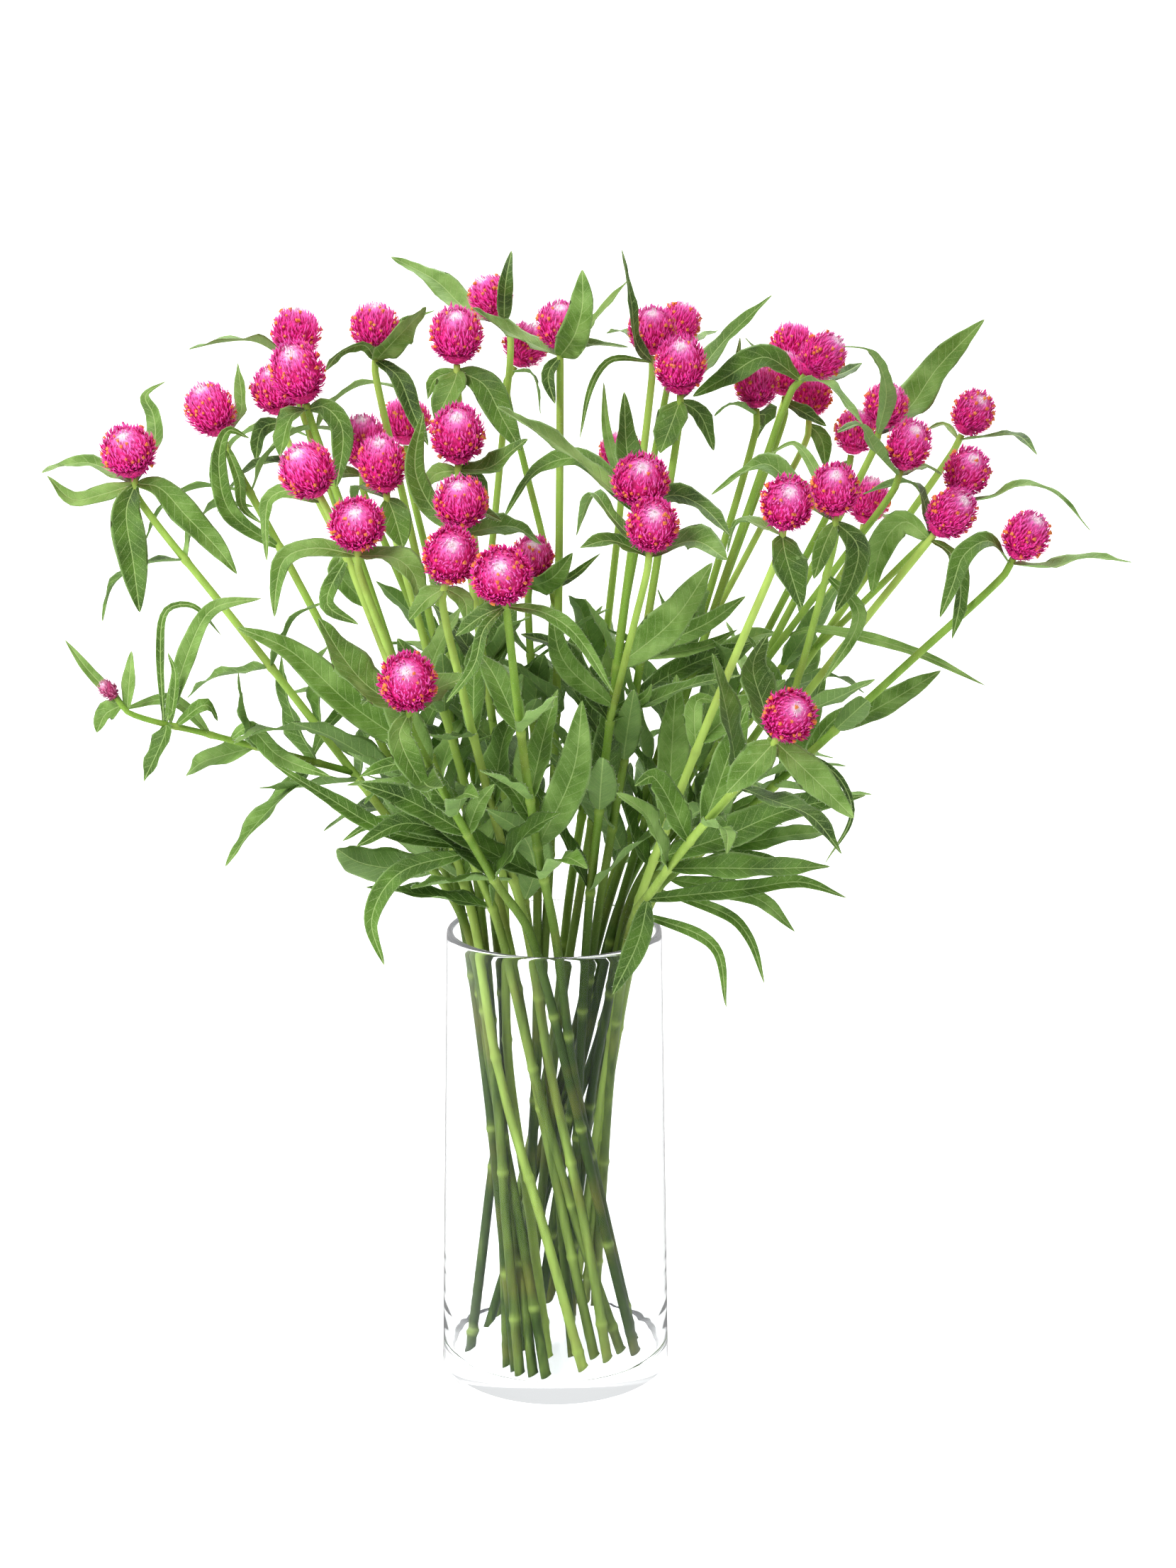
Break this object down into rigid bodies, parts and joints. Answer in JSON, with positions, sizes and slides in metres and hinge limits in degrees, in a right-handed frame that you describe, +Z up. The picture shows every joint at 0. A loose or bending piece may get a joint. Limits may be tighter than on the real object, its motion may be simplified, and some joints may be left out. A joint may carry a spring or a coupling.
{
  "type": "globe amaranth stem",
  "caption": "Loose bunch of leafy cut stems with round, bristly magenta flower heads, standing in a clear glass cylinder vase, for table decoration.",
  "frame": {"origin": "middle of the vase's underside", "axes": "+Z up along the vase's axis, -Y towards the front of the bunch as pictured, +X to the viewer's right"},
  "size_m": [0.4485, 0.2571, 0.4833],
  "materials": {
    "glass": "clear, polished",
    "bracts": "dry, papery",
    "foliage": "matt, downy"
  },
  "bodies": {
    "root": {"vase": "glass", "leafy_stems_01": "foliage", "leafy_stems_02": "foliage", "leafy_stems_03": "foliage", "leafy_stems_04": "foliage", "leafy_stems_05": "foliage", "leafy_stems_06": "foliage", "leafy_stems_07": "foliage", "leafy_stems_08": "foliage", "leafy_stems_09": "foliage", "leafy_stems_10": "foliage", "leafy_stems_11": "foliage", "leafy_stems_12": "foliage", "leafy_stems_13": "foliage", "leafy_stems_14": "foliage", "leafy_stems_15": "foliage", "head_01": "bracts", "head_02": "bracts", "head_03": "bracts", "head_04": "bracts", "head_05": "bracts", "head_06": "bracts", "head_07": "bracts", "head_08": "bracts", "head_09": "bracts", "head_10": "bracts", "head_11": "bracts", "head_12": "bracts", "head_13": "bracts", "head_14": "bracts", "head_15": "bracts", "head_16": "bracts", "head_17": "bracts", "head_18": "bracts", "head_19": "bracts", "head_20": "bracts", "head_21": "bracts", "head_22": "bracts", "head_23": "bracts", "head_24": "bracts", "head_25": "bracts", "head_26": "bracts", "head_27": "bracts", "head_28": "bracts", "head_29": "bracts", "head_30": "bracts", "head_31": "bracts", "head_32": "bracts", "head_33": "bracts", "head_34": "bracts", "head_35": "bracts", "head_36": "bracts", "head_37": "bracts", "head_38": "bracts", "head_39": "bracts", "head_40": "bracts", "head_41": "bracts", "bud": "bracts", "head_43": "bracts", "head_44": "bracts"}
  },
  "joints": []
}
